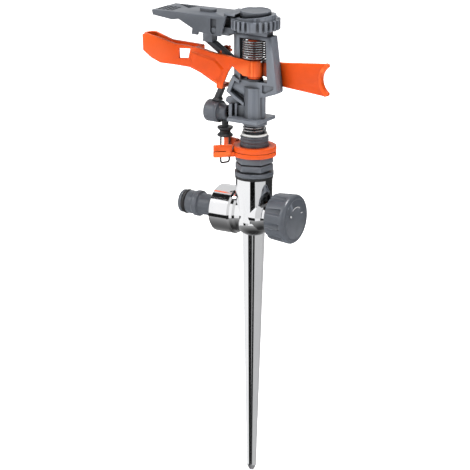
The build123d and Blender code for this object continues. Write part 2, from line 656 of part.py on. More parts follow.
with BuildPart() as impact_arm:
    # front wall, from the spoon past the left post to the hub
    slab(
        [
            (-82.5, 280.0), (-76.0, 275.6), (-69.0, 273.1), (-56.0, 273.2), (-46.2, 273.0), (-38.0, 270.4),
            (-29.6, 266.2), (-25.5, 264.4), (-25.5, 261.7), (-21.5, 261.7), (-20.5, 265.5), (-17.0, 273.5),
            (-14.0, 278.0), (-8.0, 274.0), (-4.5, 272.5), (0.0, 272.5), (0.0, 283.0), (-15.0, 283.8),
            (-27.0, 284.5), (-39.0, 286.6), (-50.0, 287.2), (-58.0, 287.2), (-66.0, 289.0), (SPOON_X, 291.3),
            (-83.0, 290.6),
        ],
        ARM_FRONT,
        ARM_BACK,
    )
    slab([(-55.0, 284.6), (-45.8, 285.5), (-47.2, 278.8), (-54.6, 278.0)], ARM_FRONT, ARM_BACK, Mode.SUBTRACT)
    # flange along the top edge, and the striker's foot under the jet
    slab(
        [(-40.0, 286.7), (-27.0, 284.5), (-15.0, 283.8), (-15.0, 281.8), (-27.0, 282.5), (-40.0, 284.7)],
        ARM_FRONT,
        ARM_BACK + 1.4,
    )
    slab([(-25.5, 261.7), (-21.5, 261.7), (-21.0, 264.4), (-25.5, 264.6)], ARM_FRONT, 2.5)
    # raised panel with sloping edges on the wall's wide part
    with BuildSketch(Plane.XZ.offset(-ARM_FRONT)) as panel:
        with BuildLine():
            Polyline(
                (-45.6, 273.4), (-38.0, 271.0), (-29.6, 266.9),
                (-24.6, 264.8), (-21.4, 269.5), (-19.6, 275.0),
                (-27.0, 281.2), (-39.0, 283.2), (-44.8, 284.6), close=True,
            )
        make_face()
    extrude(panel.sketch, amount=PANEL_RISE, taper=PANEL_SLOPE)
    # hub on the pin, wide where the front wall and the counterweight join it
    disc(HUB_R, HUB_BASE, HUB_TOP)
    disc(HUB_WIDE_R, HUB_STEPS[0], HUB_STEPS[1])
    box((-6.0, ARM_FRONT + 0.2, HUB_STEPS[0] + 0.1), (0, 0, HUB_STEPS[1]))
    box((-2.5, 0, HUB_STEPS[0]), (9.4, BLADE_BACK, 281.6))
    # counterweight: a flared blade that passes behind the right post
    with BuildSketch(Plane.XZ.offset(-BLADE_FRONT)) as blade_outline:
        with BuildLine():
            Polyline(
                (BLADE_END, 282.8), (BLADE_END, 284.2),
                (BLADE_END - 2.4, 284.9), (17.0, 281.6), (-2.5, 281.6),
                (-2.5, 272.4), (9.4, 270.0), (17.0, 266.0), (BLADE_END - 2.4, 263.6), (BLADE_END, 264.4),
                (BLADE_END, 265.8),
            )
            ThreePointArc((BLADE_END, 265.8), (BLADE_END - 4.6, 274.3), (BLADE_END, 282.8))
        make_face()
    extrude(blade_outline.sketch, amount=BLADE_FRONT - BLADE_BACK)
    with BuildSketch(Plane.XZ.offset(-BLADE_FRONT + 0.7)) as rim_outline:
        with BuildLine():
            ThreePointArc((BLADE_END, 265.8), (BLADE_END - 4.6, 274.3), (BLADE_END, 282.8))
            Polyline(
                (BLADE_END, 282.8), (BLADE_END, 284.6), (BLADE_END - 2.0, 285.2), (BLADE_END - 2.6, 284.0)
            )
            ThreePointArc((BLADE_END - 2.6, 284.0), (BLADE_END - 6.6, 274.3), (BLADE_END - 2.6, 264.6))
            Polyline(
                (BLADE_END - 2.6, 264.6), (BLADE_END - 2.0, 263.3), (BLADE_END, 264.0), (BLADE_END, 265.8)
            )
        make_face()
    extrude(rim_outline.sketch, amount=BLADE_FRONT - BLADE_BACK - 1.4)
    # spoon: rounded end, floor, rear rail and the bar across
    with BuildSketch(Plane.XY.offset(280.0)) as spoon_end:
        with Locations((SPOON_X, (ARM_FRONT + RAIL_BACK) / 2)):
            Ellipse(SPOON_DEPTH, (RAIL_BACK - ARM_FRONT) / 2)
            Ellipse(SPOON_DEPTH - 1.8, (RAIL_BACK - ARM_FRONT) / 2 - 1.8, mode=Mode.SUBTRACT)
        with Locations((SPOON_X + 10, 0)):
            Rectangle(20, 30, mode=Mode.SUBTRACT)
    extrude(spoon_end.sketch, amount=11.0)
    slab(
        [(-82.0, 281.6), (-82.0, 280.0), (-69.0, 273.3), (-63.0, 273.3), (-63.0, 275.0), (-68.6, 275.0)],
        ARM_BACK,
        4.0,
    )
    slab(
        [
            (SPOON_X, 291.0), (SPOON_X, 280.4), (-69.0, 273.3),
            (-63.0, 273.3), (-63.0, 278.0), (-66.0, 283.0),
            (-42.0, 283.0), (-42.0, 286.8), (-66.0, 287.2),
        ],
        RAIL_FRONT,
        RAIL_BACK,
    )
    box((-43.6, ARM_BACK, 283.2), (-41.6, RAIL_BACK, 286.4))
    disc(PIN_R + RUNNING, HUB_BASE, HUB_TOP, Mode.SUBTRACT)

with BuildPart() as arm_spring:
    spring_top = SPRING_BASE + SPRING_TURNS * SPRING_PITCH
    coil(SPRING_MEAN_R, SPRING_WIRE_R, SPRING_PITCH, SPRING_TURNS, (0, 0, SPRING_BASE))
    bar_between((SPRING_MEAN_R, 0, SPRING_BASE), (SPRING_MEAN_R, -6.2, SPRING_BASE - 0.2), SPRING_WIRE_R)
    bar_between((SPRING_MEAN_R, 0, spring_top), (SPRING_MEAN_R, 6.2, spring_top + 0.2), SPRING_WIRE_R)

# ======== Range wheel, deflector, bracket and cap ========

with BuildPart() as deflector_bracket:
    box((-29.5, -BRACKET_HALF, FRAME_TOP), (-12.0, BRACKET_HALF, BRACKET_TOP))
    box((-12.0, -BRACKET_NARROW, FRAME_TOP), (11.0, BRACKET_NARROW, BRACKET_TOP))
    box((-38.0, -LUG_HALF, 296.8), (-18.0, LUG_HALF, BRACKET_TOP))
    box((-38.0, -LUG_HALF, 291.0), (-31.0, LUG_HALF, 299.0))
    box((-38.0, -LUG_HALF, 299.0), (-30.0, LUG_HALF, BRACKET_TOP), Mode.SUBTRACT)
    disc(POST_R, BRACKET_TOP, POST_TOP)
    disc(PIN_R, FRAME_TOP, POST_TOP, Mode.SUBTRACT)
    with BuildSketch(Plane.XZ.offset(BRACKET_HALF)) as hinge_hole:
        with Locations((HINGE_X, HINGE_Z)):
            Circle(HINGE_PIN_R)
    extrude(hinge_hole.sketch, amount=-2 * BRACKET_HALF, mode=Mode.SUBTRACT)

with BuildPart() as deflector_strut:
    # round stay from the bracket's foot down to the left post, bored for the diffuser screw
    strut_seat = 291.0
    post_face = -13.85
    bar_between((-37.0, 0, 293.1), (-9.0, 0, 275.1), 2.9)
    box((-45.0, -4, strut_seat), (-25.0, 4, strut_seat + 10), Mode.SUBTRACT)
    box((post_face, -4, 265.0), (0, 4, 290.0), Mode.SUBTRACT)
    with BuildSketch(Plane.XZ.offset(-DIFFUSER_Y)) as diffuser_hole:
        with Locations((DIFFUSER_X, DIFFUSER_Z)):
            Circle(DIFFUSER_R + RUNNING)
    extrude(diffuser_hole.sketch, amount=2 * DIFFUSER_Y, mode=Mode.SUBTRACT)

with BuildPart() as diffuser_screw:
    with BuildSketch(Plane.XZ.offset(DIFFUSER_FRONT)) as diffuser_shank:
        with Locations((DIFFUSER_X, DIFFUSER_Z)):
            Circle(DIFFUSER_R)
    extrude(diffuser_shank.sketch, amount=-(DIFFUSER_FRONT + DIFFUSER_Y + 0.4))
    with BuildSketch(Plane.XZ.offset(-DIFFUSER_Y)) as star:
        with Locations((DIFFUSER_X, DIFFUSER_Z)):
            Circle(2.1)
            with PolarLocations(2.3, STAR_POINTS):
                Circle(0.95)
    extrude(star.sketch, amount=-STAR_THICK)

with BuildPart() as range_wheel:
    recess = WHEEL_TOP - 1.2
    disc(WHEEL_R, WHEEL_BASE, WHEEL_TOP)
    # slanted cam round the middle: low under the deflector's tail, high on the far side
    disc(CAM_OUTER_R, WHEEL_TOP, WHEEL_TOP + CAM_LIFT)
    with BuildSketch(Plane.XZ) as cam_slope:
        with BuildLine():
            Polyline(
                (-CAM_OUTER_R - 1, WHEEL_TOP), (-CAM_OUTER_R, WHEEL_TOP),
                (CAM_OUTER_R, WHEEL_TOP + CAM_LIFT), (CAM_OUTER_R + 1, WHEEL_TOP + CAM_LIFT + 1),
                (-CAM_OUTER_R - 1, WHEEL_TOP + CAM_LIFT + 1), close=True,
            )
        make_face()
    extrude(cam_slope.sketch, amount=CAM_OUTER_R + 1, both=True, mode=Mode.SUBTRACT)
    disc(CAM_INNER_R - 0.5, recess, WHEEL_TOP + CAM_LIFT, Mode.SUBTRACT)
    disc(POST_R + RUNNING, WHEEL_BASE, WHEEL_TOP, Mode.SUBTRACT)
    # teeth, missing where the thumb pads are
    step = 360 / WHEEL_TEETH
    for tooth in range(WHEEL_TEETH):
        if tooth in WHEEL_PAD_TEETH:
            continue
        turn = radians(tooth * step)
        gap_plane = Plane(
            origin=(WHEEL_R * cos(turn), WHEEL_R * sin(turn), WHEEL_BASE),
            x_dir=(cos(turn), sin(turn), 0),
            z_dir=(0, 0, 1),
        )
        with BuildSketch(gap_plane) as gap:
            Rectangle(TOOTH_DEPTH * 2, TOOTH_GAP)
        extrude(gap.sketch, amount=WHEEL_TOP - WHEEL_BASE, mode=Mode.SUBTRACT)

with BuildPart() as top_cap:
    cap_ceiling = POST_TOP + BOLT_HEAD
    turned_about_z(
        [
            (7.4, CAP_FOOT), (CAP_FOOT_R, CAP_FOOT),
            (CAP_RIM_R, CAP_TOP - 0.9), (CAP_RIM_R - 0.1, CAP_TOP - 0.2),
            (CAP_RIM_R - 0.5, CAP_TOP), (CAP_RIM_R - 1.3, CAP_TOP), (CAP_RIM_R - 1.6, CAP_TOP - 0.35),
            (0, CAP_TOP - 0.35), (0, cap_ceiling), (7.4, cap_ceiling),
        ]
    )

with BuildPart() as deflector_hinge_pin:
    pin_front, pin_back = CHEEK_FRONT + POCKET_DEPTH, CHEEK_BACK - 0.6
    with BuildSketch(Plane.XZ.offset(-pin_front)) as hinge_shank:
        with Locations((HINGE_X, HINGE_Z)):
            Circle(HINGE_PIN_R)
    extrude(hinge_shank.sketch, amount=pin_front - pin_back)
    with BuildSketch(Plane.XZ.offset(-pin_front)) as hinge_head:
        with Locations((HINGE_X, HINGE_Z)):
            Circle(2.1)
    extrude(hinge_head.sketch, amount=0.9)

with BuildPart() as deflector:
    # deck: a shallow roof whose left end is the ribbed pad
    deck_profile = [
        (-72.0, 309.6), (-16.6, 311.0), (-16.9, 311.0 - DECK_THICK), (-54.0, 308.2), (-56.4, 304.8),
        (-71.2, 306.3),
    ]
    slab(deck_profile, CHEEK_FRONT, CHEEK_BACK)
    # cheeks that hang down on both sides of the bracket's lug
    cheek_profile = [
        (-57.0, 304.8), (-51.4, 305.8), (-37.2, 299.1), (-19.9, 297.9), (-15.9, 311.0), (-57.0, 309.9),
    ]
    slab(cheek_profile, CHEEK_FRONT, CHEEK_FRONT + CHEEK_THICK)
    slab(cheek_profile, CHEEK_BACK - CHEEK_THICK, CHEEK_BACK)
    # front wall of the channel, behind the pad
    slab([(-56.4, 304.8), (-51.4, 305.8), (-51.4, 309.9), (-56.4, 309.8)], CHEEK_FRONT, CHEEK_BACK)
    # waffle of square pockets in the pad
    with BuildSketch(Plane.XY.offset(308.4)) as pockets:
        with Locations((-64.2, -2.6)):
            with GridLocations(3.1, 3.1, 4, 4):
                Rectangle(2.3, 2.3)
    extrude(pockets.sketch, amount=3.0, mode=Mode.SUBTRACT)
    # triangular notch at the back of the pad
    with BuildSketch(Plane.XY.offset(303.6)) as notch:
        with BuildLine():
            Polyline((-53.0, 3.0), (-65.6, 11.8), (-49.6, 11.8), close=True)
        make_face()
    extrude(notch.sketch, amount=8.0, mode=Mode.SUBTRACT)
    # the pad's end is slanted in plan
    with BuildSketch(Plane.XY.offset(300.0)) as end_slant:
        with BuildLine():
            Polyline((-72.2, CHEEK_FRONT - 1), (-69.0, CHEEK_BACK + 1), (-76.0, CHEEK_BACK + 1), close=True)
        make_face()
    extrude(end_slant.sketch, amount=12.0, mode=Mode.SUBTRACT)
    # oval boss on the deck
    with BuildSketch(Plane.XY.offset(309.5)) as boss:
        with Locations((-36.0, 0)):
            SlotOverall(12.0, 5.0)
    extrude(boss.sketch, amount=3.0)
    # tail that the wheel's cam lifts, hollowed round the cap
    box((-18.0, -9.0, 311.6), (-10.4, 9.0, 313.0))
    box((-18.6, -9.0, 309.6), (-16.6, 9.0, 313.0))
    disc(CAP_RIM_R + 0.5, 305.0, 316.0, Mode.SUBTRACT)
    box((-13.2, -1.0, WHEEL_TOP + CAM_START_GAP), (-11.3, 1.0, 312.0))
    # front cheek: keyhole pocket for the pin's head
    pocket_profile = [
        (-27.2, 309.0), (-22.6, 309.0), (-22.8, 300.2), (-24.0, 298.8), (-25.8, 298.8), (-27.0, 300.2),
    ]
    slab(pocket_profile, CHEEK_FRONT, CHEEK_FRONT + POCKET_DEPTH, Mode.SUBTRACT)
    # peg below the front edge
    slab(
        [(-41.4, 296.9), (-37.0, 296.9), (-36.4, 300.6), (-40.6, 302.4)],
        CHEEK_FRONT + 0.2,
        CHEEK_FRONT + 2.0,
    )
    with BuildSketch(Plane.XZ.offset(-CHEEK_FRONT + 1)) as pin_way:
        with Locations((HINGE_X, HINGE_Z)):
            Circle(HINGE_PIN_R + RUNNING)
    extrude(pin_way.sketch, amount=CHEEK_FRONT - CHEEK_BACK - 2, mode=Mode.SUBTRACT)

# ======== Trip ========

with BuildPart() as trip_hub:
    # turns on the axle; its flange closes the drum and its core carries the toggle spring
    rod(DRUM_R, DRUM_MOUTH, DRUM_MOUTH + HUB_FLANGE, TRIP_Z)
    turned_about_x(TRIP_HUB_PROFILE, TRIP_Z)
    rod(HUB_CORE_R, HUB_CORE_START, DRUM_MOUTH, TRIP_Z)
    rod(HUB_CORE_R, TRIP_HUB_END - 1.6, TRIP_HUB_END, TRIP_Z, Mode.SUBTRACT)
    rod(AXLE_R + RUNNING, HUB_CORE_START, TRIP_HUB_END, TRIP_Z, Mode.SUBTRACT)

with BuildPart() as reversing_lever:
    # upper arm that the striker meets, on a foot across the drum and the flange
    lever_foot = TRIP_Z + DRUM_R
    slab([(-30.9, lever_foot), (-27.2, lever_foot), (-23.6, 260.4), (-26.6, 261.2)], -2.2, 2.2)
    slab(
        [
            (-31.4, lever_foot), (DRUM_MOUTH + HUB_FLANGE, lever_foot),
            (DRUM_MOUTH + HUB_FLANGE, lever_foot + 1.6), (-30.6, lever_foot + 1.6),
        ],
        -2.6,
        2.6,
    )

with BuildPart() as toggle_drum:
    turned_about_x(
        [
            (DRUM_END, 0), (DRUM_END, DRUM_R - 1.4), (DRUM_END + 0.5, DRUM_R - 0.5), (DRUM_END + 1.4, DRUM_R),
            (DRUM_MOUTH, DRUM_R), (DRUM_MOUTH, DRUM_R - 1.2),
            (DRUM_END + 1.5, DRUM_R - 1.2), (DRUM_END + 1.5, 0),
        ],
        TRIP_Z,
    )

with BuildPart() as toggle_spring:
    coil(3.6, 0.45, 1.15, 4, (-32.6, 0, TRIP_Z), (1, 0, 0))

with BuildPart() as trip_spool:
    with BuildSketch(Plane.XZ) as spool_outline:
        with BuildLine():
            Polyline(
                (WIRE_X, SPOOL_TOP), (WIRE_X + SPOOL_R, SPOOL_TOP), (WIRE_X + SPOOL_R, SPOOL_TOP - 1.0),
                (WIRE_X + SPOOL_WAIST_R, SPOOL_TOP - 2.6), (WIRE_X + SPOOL_WAIST_R, SPOOL_BASE + 2.4),
                (WIRE_X + SPOOL_R, SPOOL_BASE + 0.9), (WIRE_X + SPOOL_R, SPOOL_BASE), (WIRE_X, SPOOL_BASE),
                close=True,
            )
        make_face()
    revolve(axis=Axis((WIRE_X, 0, 0), (0, 0, 1)))
    # stem up to the trip's hub
    with BuildSketch(Plane.XY.offset(SPOOL_TOP)) as stem:
        with Locations((WIRE_X, 0)):
            Circle(STEM_R)
    extrude(stem.sketch, amount=TRIP_Z - SPOOL_TOP)
    turned_about_x(TRIP_HUB_PROFILE, TRIP_Z, Mode.SUBTRACT)
    # the wire's two ends are held here
    with BuildSketch(wire_plane) as wire_sockets:
        with Locations((-WIRE_HALF_WIDTH, SPOOL_BASE + 1), (WIRE_HALF_WIDTH, SPOOL_BASE + 1)):
            Rectangle(2 * WIRE_R, 2.2)
    extrude(wire_sockets.sketch, amount=WIRE_R, both=True, mode=Mode.SUBTRACT)

with BuildPart() as trip_wire:
    with BuildLine(wire_plane) as wire_path:
        FilletPolyline(
            (-WIRE_HALF_WIDTH, SPOOL_BASE + 2), (-WIRE_HALF_WIDTH, WIRE_FOOT + WIRE_R),
            (WIRE_HALF_WIDTH, WIRE_FOOT + WIRE_R), (WIRE_HALF_WIDTH, SPOOL_BASE + 2), radius=1.6,
        )
    with BuildSketch(Plane(origin=wire_path.line @ 0, z_dir=wire_path.line % 0)) as wire_section:
        Circle(WIRE_R)
    sweep(wire_section.sketch, path=wire_path.line)

# ======== Names and files ========

PIECES = {
    "spike_body": spike_body,
    "inlet_nipple": inlet_nipple,
    "nipple_o_ring": nipple_o_ring,
    "inlet_washer": inlet_washer,
    "valve_plug": valve_plug,
    "valve_stem": valve_stem,
    "stem_o_ring": stem_o_ring,
    "bonnet_nut": bonnet_nut,
    "flow_knob": flow_knob,
    "knob_screw": knob_screw,
    "knob_cap": knob_cap,
    "body_seal": body_seal,
    "bearing_nut": bearing_nut,
    "bearing_sleeve": bearing_sleeve,
    "thrust_washer": thrust_washer,
    "bearing_tube": bearing_tube,
    "bearing_washers": bearing_washers,
    "bearing_spring": bearing_spring,
    "lower_sector_ring": lower_sector_ring,
    "upper_sector_ring": upper_sector_ring,
    "head_body": head_body,
    "nozzle_insert": nozzle_insert,
    "arm_pivot_pin": arm_pivot_pin,
    "arm_washer": arm_washer,
    "reversing_axle": reversing_axle,
    "impact_arm": impact_arm,
    "arm_spring": arm_spring,
    "deflector_bracket": deflector_bracket,
    "deflector_strut": deflector_strut,
    "diffuser_screw": diffuser_screw,
    "range_wheel": range_wheel,
    "top_cap": top_cap,
    "deflector_hinge_pin": deflector_hinge_pin,
    "deflector": deflector,
    "trip_hub": trip_hub,
    "reversing_lever": reversing_lever,
    "toggle_drum": toggle_drum,
    "toggle_spring": toggle_spring,
    "trip_spool": trip_spool,
    "trip_wire": trip_wire,
}

for label, piece in PIECES.items():
    piece.part.label = label
    export_step(piece.part, f"parts/{label}.step")
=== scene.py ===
"""Looks of the impulse sprinkler: studio, materials and the small pieces that the CAD model leaves out."""

import json
from math import cos, radians, sin

import bmesh
import bpy
from mathutils import Matrix, Vector


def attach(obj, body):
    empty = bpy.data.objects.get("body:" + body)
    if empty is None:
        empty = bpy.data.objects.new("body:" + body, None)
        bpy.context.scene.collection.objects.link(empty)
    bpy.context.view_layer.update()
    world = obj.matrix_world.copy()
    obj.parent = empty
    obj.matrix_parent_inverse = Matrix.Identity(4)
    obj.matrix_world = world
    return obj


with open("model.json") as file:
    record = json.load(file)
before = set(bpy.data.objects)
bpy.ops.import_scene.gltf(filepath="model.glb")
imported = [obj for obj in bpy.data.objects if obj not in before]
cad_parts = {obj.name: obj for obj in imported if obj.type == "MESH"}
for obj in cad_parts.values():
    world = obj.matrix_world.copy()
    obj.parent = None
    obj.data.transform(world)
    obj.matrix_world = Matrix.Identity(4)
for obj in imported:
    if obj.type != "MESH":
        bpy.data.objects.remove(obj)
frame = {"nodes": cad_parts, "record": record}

MM = 0.001
scene = bpy.context.scene
nodes = frame["nodes"]
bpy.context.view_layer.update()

# ---- Camera: seen from the front right, a little above, with a long lens ----

AZIMUTH, ELEVATION, ROLL = radians(31.0), radians(16.3), radians(0.45)
DISTANCE = 2.2
FRAME_HEIGHT = 0.3102  # height of the picture at the bearing axis
SENSOR = 36.0
AIM_HEIGHT = 0.16382
AIM_LEFT = 0.012276  # the camera aims this far to the left of the bearing axis

right = Vector((cos(AZIMUTH), sin(AZIMUTH), 0))
toward = Vector((sin(AZIMUTH) * cos(ELEVATION), -cos(AZIMUTH) * cos(ELEVATION), sin(ELEVATION)))
up = toward.cross(right)
aim = Vector((0, 0, AIM_HEIGHT)) - right * AIM_LEFT

camera_data = bpy.data.cameras.new("camera")
camera_data.sensor_width = SENSOR
camera_data.lens = SENSOR * DISTANCE / FRAME_HEIGHT
camera_data.clip_start = 0.1
camera_data.clip_end = 20.0
camera = bpy.data.objects.new("camera", camera_data)
turn = Matrix((right, up, toward)).transposed().to_4x4() @ Matrix.Rotation(ROLL, 4, "Z")
camera.matrix_world = Matrix.Translation(aim + toward * DISTANCE) @ turn
scene.collection.objects.link(camera)
scene.camera = camera

# ---- Studio ----

scene.view_settings.view_transform = "Standard"
scene.view_settings.look = "None"

WALL_DISTANCE = 0.9  # from the bearing axis to the cards that the chrome reflects
WALL_FOOT = -0.37
KNEE = -0.095  # height that parts what the spike reflects from what the valve body reflects


def shader(name):
    """A new material: its nodes, its links and its Principled shader."""
    material = bpy.data.materials.new(name)
    material.use_nodes = True
    tree = material.node_tree
    return material, tree, tree.nodes["Principled BSDF"]


def add(tree, kind, **inputs):
    """A shader node with some of its inputs set."""
    node = tree.nodes.new(kind)
    for name, value in inputs.items():
        node.inputs[name.replace("_", " ")].default_value = value
    return node


def mesh_object(name, build):
    """A new object whose mesh is made by build(bm)."""
    mesh = bpy.data.meshes.new(name)
    bm = bmesh.new()
    build(bm)
    bm.to_mesh(mesh)
    bm.free()
    obj = bpy.data.objects.new(name, mesh)
    scene.collection.objects.link(obj)
    return obj


def flat_sheet(name, half, height):
    """A level square sheet round the object."""
    corners = [(-half, -half, 0), (half, -half, 0), (half, half, 0), (-half, half, 0)]
    sheet = mesh_object(name, lambda bm: bm.faces.new([bm.verts.new(c) for c in corners]))
    sheet.location.z = height
    return sheet


def world_light(strength):
    """An even, dim white surround."""
    world = bpy.data.worlds.new("studio")
    world.use_nodes = True
    background = world.node_tree.nodes["Background"]
    background.inputs["Color"].default_value = (1, 1, 1, 1)
    background.inputs["Strength"].default_value = strength
    scene.world = world


def area_light(name, place, target, size, power):
    """A soft box at a place, facing a target."""
    data = bpy.data.lights.new(name, "AREA")
    data.shape = "RECTANGLE"
    data.size, data.size_y = size
    data.energy = power
    light = bpy.data.objects.new(name, data)
    way = Vector(target) - Vector(place)
    light.matrix_world = Matrix.Translation(place) @ way.to_track_quat("-Z", "Y").to_matrix().to_4x4()
    scene.collection.objects.link(light)


def studio_wall(name, start, end, low, high, tone):
    """A curved card round the object that only polished faces reflect, from one bearing to another.

    Bearings are in degrees from the camera's side, positive to the camera's right. A tone of 0 is black.
    """
    degrees_a_step = 6
    steps = max(2, round((end - start) / degrees_a_step))
    edges = []
    for step in range(steps + 1):
        angle = AZIMUTH + radians(start + (end - start) * step / steps)
        edges.append(Vector((sin(angle), -cos(angle), 0)) * WALL_DISTANCE)

    def build(bm):
        lower = [bm.verts.new(edge + Vector((0, 0, low))) for edge in edges]
        upper = [bm.verts.new(edge + Vector((0, 0, high))) for edge in edges]
        for k in range(steps):
            bm.faces.new([lower[k], lower[k + 1], upper[k + 1], upper[k]])

    wall = mesh_object(name, build)
    material, tree, principled = shader(name)
    principled.inputs["Base Color"].default_value = (0, 0, 0, 1)
    principled.inputs["Specular IOR Level"].default_value = 0
    principled.inputs["Emission Color"].default_value = (1, 1, 1, 1)
    principled.inputs["Emission Strength"].default_value = tone
    wall.data.materials.append(material)
    reflected_only(wall)


def reflected_only(card):
    """Stages a card that nothing but reflections can see."""
    card.visible_camera = False
    card.visible_diffuse = False
    card.visible_shadow = False


def dark_ground():
    """A sheet under the floor's place for reflections that go down, dark below the object."""
    sheet = flat_sheet("dark_ground", 4.0, -0.62)
    material, tree, principled = shader("dark_ground")
    coordinates = tree.nodes.new("ShaderNodeTexCoord")
    mapping = add(tree, "ShaderNodeMapping", Scale=(0.7, 0.7, 0.7))
    gradient = tree.nodes.new("ShaderNodeTexGradient")
    gradient.gradient_type = "SPHERICAL"
    span = tree.nodes.new("ShaderNodeMapRange")
    span.inputs["From Min"].default_value = 0.1
    span.inputs["From Max"].default_value = 0.85
    span.inputs["To Min"].default_value = 0.38
    span.inputs["To Max"].default_value = 0.03
    tree.links.new(coordinates.outputs["Object"], mapping.inputs["Vector"])
    tree.links.new(mapping.outputs["Vector"], gradient.inputs["Vector"])
    tree.links.new(gradient.outputs["Fac"], span.inputs["Value"])
    tree.links.new(span.outputs["Result"], principled.inputs["Emission Strength"])
    principled.inputs["Base Color"].default_value = (0, 0, 0, 1)
    principled.inputs["Specular IOR Level"].default_value = 0
    principled.inputs["Emission Color"].default_value = (1, 1, 1, 1)
    sheet.data.materials.append(material)
    reflected_only(sheet)


def backdrop():
    """A round white paper wall beyond the camera, which only the picture's background shows."""
    radius, low, high, steps = 4.6, -0.3, 3.5, 60
    turns = [radians(360 * step / steps) for step in range(steps)]

    def build(bm):
        foot = [bm.verts.new((radius * cos(turn), radius * sin(turn), low)) for turn in turns]
        rim = [bm.verts.new((radius * cos(turn), radius * sin(turn), high)) for turn in turns]
        for k in range(steps):
            following = (k + 1) % steps
            bm.faces.new([foot[following], foot[k], rim[k], rim[following]])

    sheet = mesh_object("backdrop", build)
    material, tree, principled = shader("backdrop")
    coordinates = tree.nodes.new("ShaderNodeTexCoord")
    noise = add(tree, "ShaderNodeTexNoise", Scale=3.0, Detail=2.0)
    ramp = tree.nodes.new("ShaderNodeValToRGB")
    ramp.color_ramp.elements[0].color = (0.97, 0.97, 0.97, 1)
    ramp.color_ramp.elements[1].color = (1, 1, 1, 1)
    tree.links.new(coordinates.outputs["Object"], noise.inputs["Vector"])
    tree.links.new(noise.outputs["Fac"], ramp.inputs["Fac"])
    tree.links.new(ramp.outputs["Color"], principled.inputs["Emission Color"])
    principled.inputs["Base Color"].default_value = (0, 0, 0, 1)
    principled.inputs["Emission Strength"].default_value = 1.0
    sheet.data.materials.append(material)
    sheet.visible_diffuse = False
    sheet.visible_glossy = False
    sheet.visible_shadow = False


def studio_floor():
    """A wide pale floor, just under the tip of the spike."""
    floor = flat_sheet("floor", 5.0, -0.0006)
    material, tree, principled = shader("floor")
    coordinates = tree.nodes.new("ShaderNodeTexCoord")
    noise = add(tree, "ShaderNodeTexNoise", Scale=60.0, Detail=4.0)
    ramp = tree.nodes.new("ShaderNodeValToRGB")
    ramp.color_ramp.elements[0].color = (0.95, 0.95, 0.95, 1)
    ramp.color_ramp.elements[1].color = (1, 1, 1, 1)
    tree.links.new(coordinates.outputs["Object"], noise.inputs["Vector"])
    tree.links.new(noise.outputs["Fac"], ramp.inputs["Fac"])
    tree.links.new(ramp.outputs["Color"], principled.inputs["Base Color"])
    tree.links.new(ramp.outputs["Color"], principled.inputs["Emission Color"])
    principled.inputs["Emission Strength"].default_value = 0.85
    principled.inputs["Roughness"].default_value = 0.8
    principled.inputs["Specular IOR Level"].default_value = 0.2
    floor.data.materials.append(material)
    floor.visible_glossy = False


world_light(0.13)
studio_floor()
backdrop()
dark_ground()
area_light("key", (-1.1, -1.2, 1.5), (0, 0, 0.2), (0.45, 0.45), 14)
area_light("top", (0.1, -0.1, 2.0), (0, 0, 0.2), (0.8, 0.8), 39)
area_light("fill", (1.6, -0.9, 0.6), (0, 0, 0.2), (0.4, 0.8), 4.5)
area_light("rim", (0.2, 1.4, 1.3), (0, 0, 0.22), (0.7, 0.7), 6)

# what the valve body and the bearing reflect
studio_wall("upper_white", -128, -25, KNEE, 0.95, 1.0)
studio_wall("upper_black", -25, 5, KNEE, 1.6, 0.004)
studio_wall("upper_light", 5, 74, KNEE, 1.1, 0.7)
studio_wall("upper_back_right", 74, 150, KNEE, 0.5, 0.03)
studio_wall("upper_back_light", 150, 213, KNEE, 0.6, 0.75)
studio_wall("upper_back_left", 213, 232, KNEE, 0.5, 0.03)
studio_wall("upper_band", -110, -25, 0.95, 1.7, 0.01)
studio_wall("upper_sky", 100, 250, 0.6, 1.8, 0.7)
# what the spike reflects
studio_wall("lower_white", -110, -70, WALL_FOOT, KNEE, 0.95)
studio_wall("lower_black", -70, -54, WALL_FOOT, KNEE, 0.012)
studio_wall("lower_grey", -54, -36, WALL_FOOT, KNEE, 0.55)
studio_wall("lower_front", -36, 10, WALL_FOOT, KNEE, 0.9)
studio_wall("lower_dark", 10, 60, WALL_FOOT, KNEE, 0.02)
studio_wall("lower_side", 60, 100, WALL_FOOT, KNEE, 0.45)
studio_wall("lower_back_right", 100, 150, WALL_FOOT, KNEE, 0.5)
studio_wall("lower_back_dark", 150, 213, WALL_FOOT, KNEE, 0.015)
studio_wall("lower_back_left", 213, 250, WALL_FOOT, KNEE, 0.8)

# ---- Materials ----


def grain_bump(tree, principled, layers):
    """Adds up noise layers (scale, strength, distance) as bump on the shader's normal."""
    coordinates = tree.nodes.new("ShaderNodeTexCoord")
    normal = None
    for scale, strength, distance in layers:
        noise = add(tree, "ShaderNodeTexNoise", Scale=scale, Detail=3.0, Roughness=0.6)
        tree.links.new(coordinates.outputs["Object"], noise.inputs["Vector"])
        bump = add(tree, "ShaderNodeBump", Strength=strength, Distance=distance)
        tree.links.new(noise.outputs["Fac"], bump.inputs["Height"])
        if normal:
            tree.links.new(normal, bump.inputs["Normal"])
        normal = bump.outputs["Normal"]
    tree.links.new(normal, principled.inputs["Normal"])
    return coordinates


def mottled(tree, coordinates, scale, low, high):
    """A ramp between two colours, driven by soft noise."""
    noise = add(tree, "ShaderNodeTexNoise", Scale=scale, Detail=5.0, Roughness=0.55)
    ramp = tree.nodes.new("ShaderNodeValToRGB")
    ramp.color_ramp.elements[0].position = 0.3
    ramp.color_ramp.elements[1].position = 0.7
    ramp.color_ramp.elements[0].color = (*low, 1)
    ramp.color_ramp.elements[1].color = (*high, 1)
    tree.links.new(coordinates.outputs["Object"], noise.inputs["Vector"])
    tree.links.new(noise.outputs["Fac"], ramp.inputs["Fac"])
    return ramp


